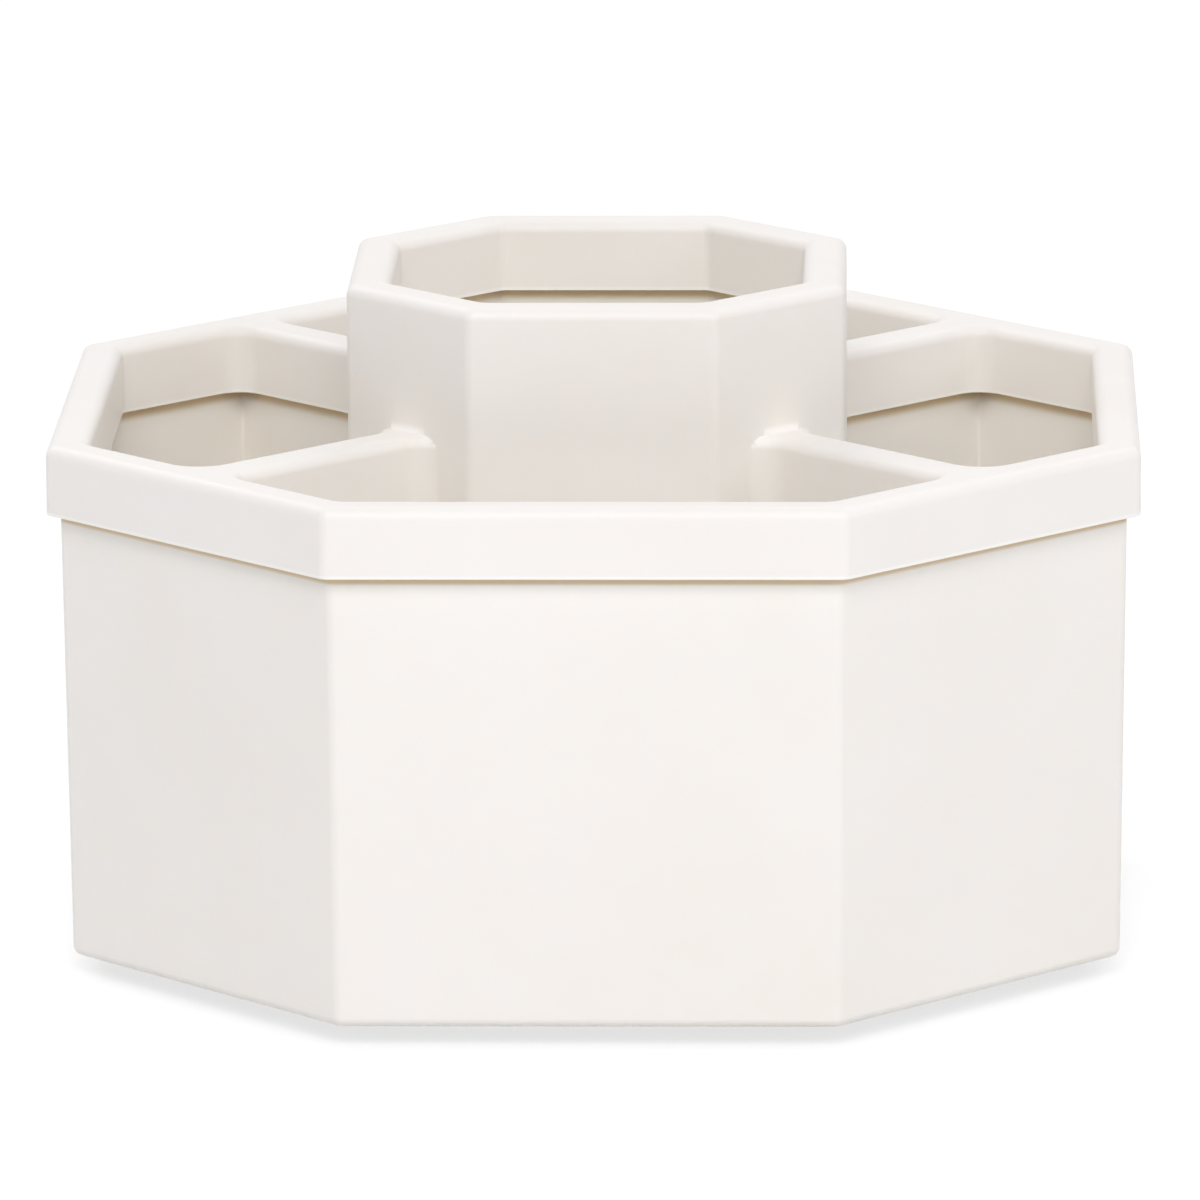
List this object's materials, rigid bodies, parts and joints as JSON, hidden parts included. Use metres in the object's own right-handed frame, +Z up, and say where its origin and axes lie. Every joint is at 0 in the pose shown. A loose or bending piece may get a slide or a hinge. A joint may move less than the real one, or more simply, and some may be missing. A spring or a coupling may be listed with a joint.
{
  "type": "rotating desk organizer",
  "caption": "Octagonal turntable desk organizer with radial rooms round a raised centre cup, a moulded bin under a capping top frame on a ball-bearing base.",
  "frame": {"origin": "centre of the footprint on the table, under the rubber feet", "axes": "+Z up along the turning axis, -Y towards the side that the picture shows from the front, +X to its right"},
  "size_m": [0.16, 0.16, 0.1005],
  "materials": {
    "bin_plastic": "satin moulded ABS, warm white",
    "frame_plastic": "satin moulded ABS, warm white",
    "base_plastic": "matt moulded ABS, warm white",
    "cage_plastic": "matt moulded acetal",
    "washer_plastic": "smooth acetal",
    "ball_steel": "polished bearing steel",
    "screw_steel": "zinc plated",
    "foot_rubber": "matt"
  },
  "bodies": {
    "base": {"turntable_base": "base_plastic", "foot_front_left": "foot_rubber", "foot_front_right": "foot_rubber", "foot_back_right": "foot_rubber", "foot_back_left": "foot_rubber"},
    "organizer": {"bin_body": "bin_plastic", "top_frame": "frame_plastic", "pivot_screw": "screw_steel", "pivot_washer": "washer_plastic"},
    "ball_ring": {"ball_cage": "cage_plastic", "ball_01": "ball_steel", "ball_02": "ball_steel", "ball_03": "ball_steel", "ball_04": "ball_steel", "ball_05": "ball_steel", "ball_06": "ball_steel", "ball_07": "ball_steel", "ball_08": "ball_steel", "ball_09": "ball_steel", "ball_10": "ball_steel", "ball_11": "ball_steel", "ball_12": "ball_steel"}
  },
  "joints": [
    {"name": "organizer_spin", "type": "hinge", "parent": "base", "child": "organizer", "pos_m": [0, 0, 0.0074], "axis": [0, 0, 1], "continuous": true},
    {"name": "ball_ring_spin", "type": "hinge", "parent": "base", "child": "ball_ring", "pos_m": [0, 0, 0.0074], "axis": [0, 0, 1], "continuous": true}
  ],
  "couplings": [
    {"joint": "ball_ring_spin", "follows": "organizer_spin", "ratio": 0.5}
  ]
}
